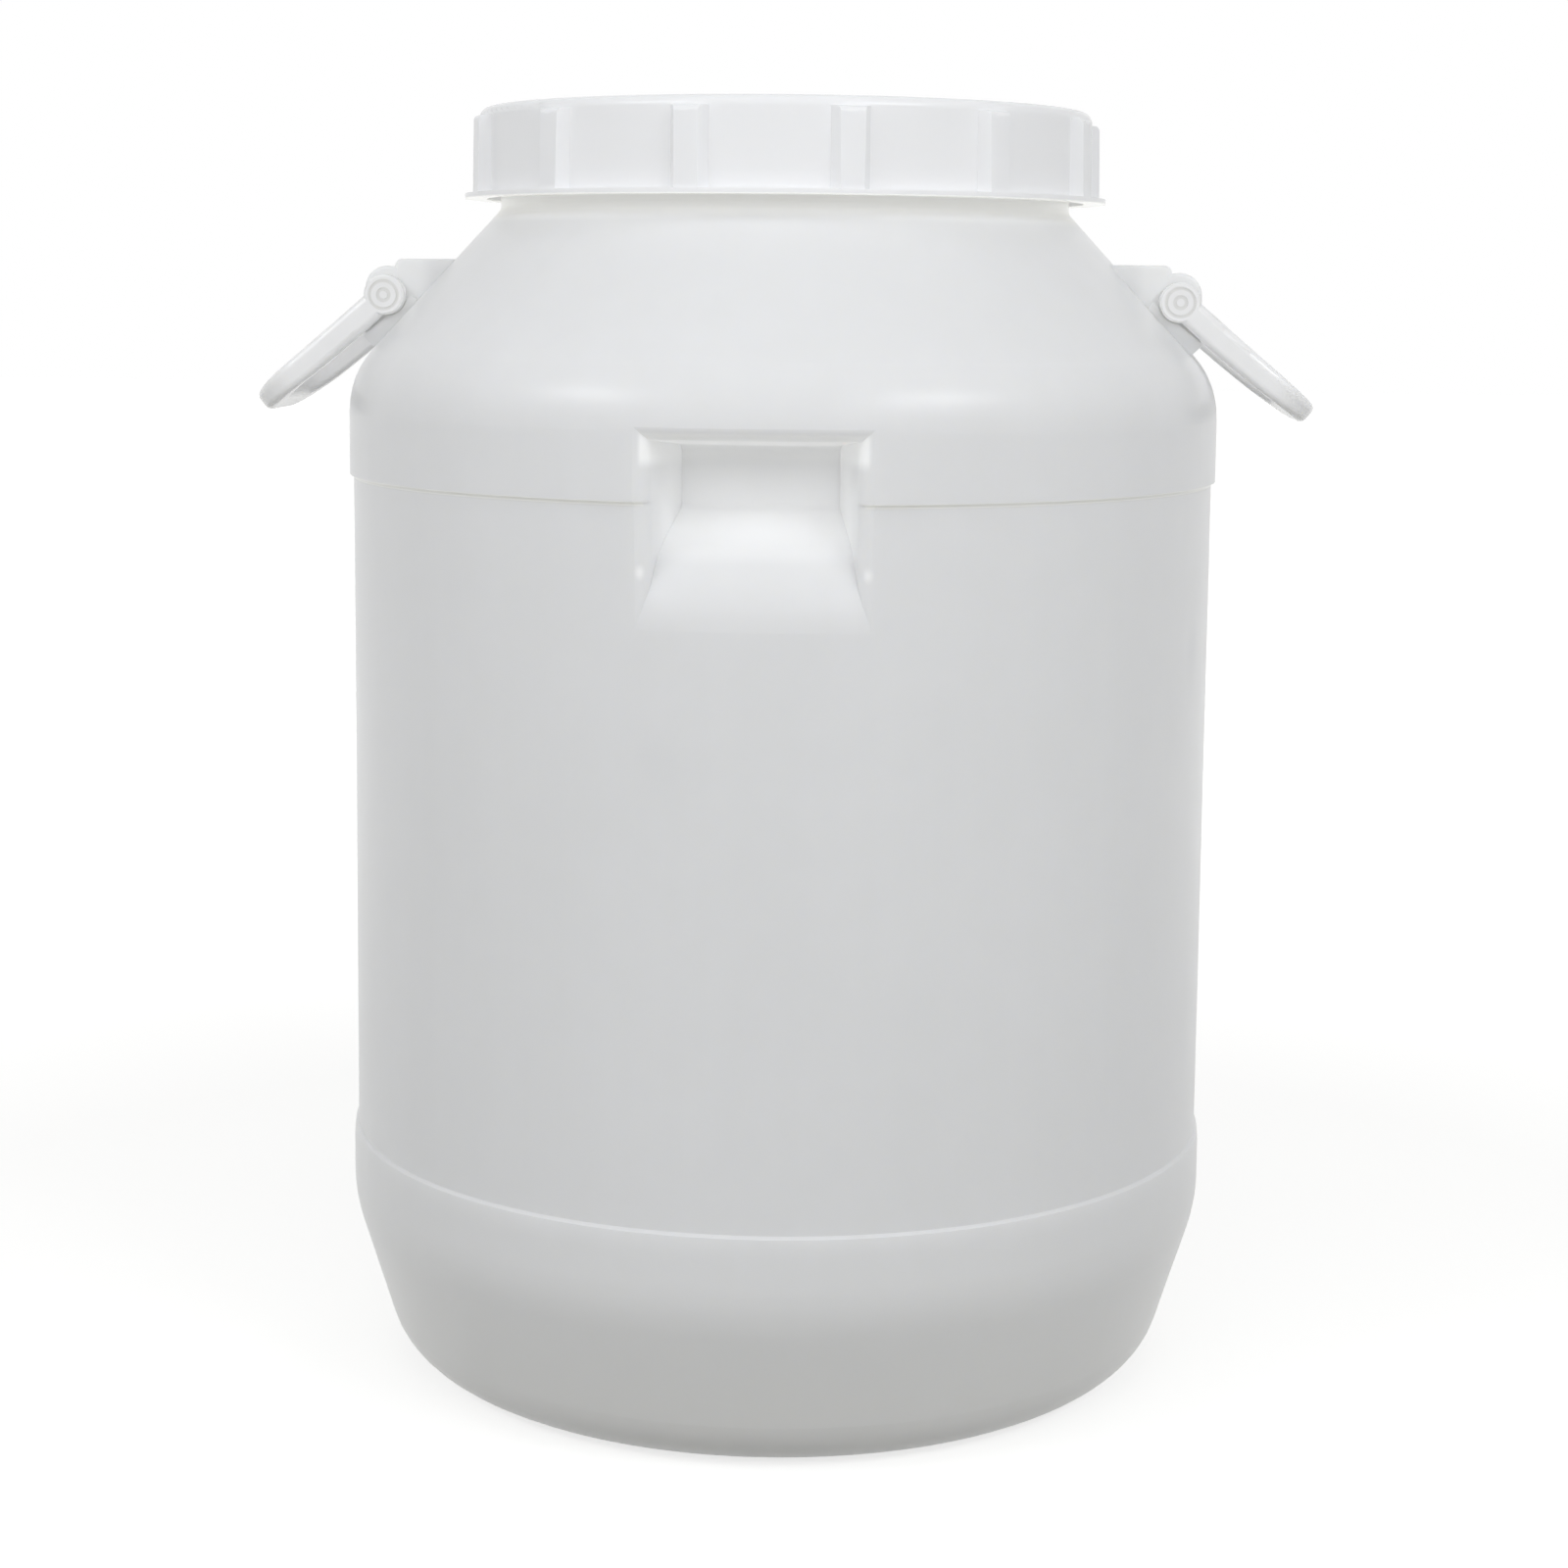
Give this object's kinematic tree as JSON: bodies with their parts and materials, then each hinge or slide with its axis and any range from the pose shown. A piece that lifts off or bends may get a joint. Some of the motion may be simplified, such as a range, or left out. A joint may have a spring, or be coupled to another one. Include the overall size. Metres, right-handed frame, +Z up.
{
  "type": "water barrel",
  "caption": "Round plastic water barrel with a ribbed screw lid, scooped hand grips and bail handles that swing on shoulder lugs.",
  "frame": {"origin": "middle of the base, on the plane that the barrel stands on", "axes": "+Z up along the barrel's axis, +X towards one bail handle, -Y towards the front hand grip"},
  "size_m": [0.4622, 0.3812, 0.5515],
  "materials": {
    "barrel_plastic": "satin, milky blow-moulded polyethylene",
    "lid_plastic": "soft gloss, injection-moulded polyethylene",
    "handle_plastic": "satin, injection-moulded polyethylene"
  },
  "bodies": {
    "barrel": {"barrel": "barrel_plastic", "lid": "lid_plastic"},
    "handle_right": {"handle_right": "handle_plastic"},
    "handle_left": {"handle_left": "handle_plastic"}
  },
  "joints": [
    {"name": "bail_right", "type": "hinge", "parent": "barrel", "child": "handle_right", "pos_m": [0.1715, 0, 0.4703], "axis": [0, -1, 0], "range_deg": [0, 150]},
    {"name": "bail_left", "type": "hinge", "parent": "barrel", "child": "handle_left", "pos_m": [-0.1715, 0, 0.4703], "axis": [0, 1, 0], "range_deg": [0, 150]}
  ]
}
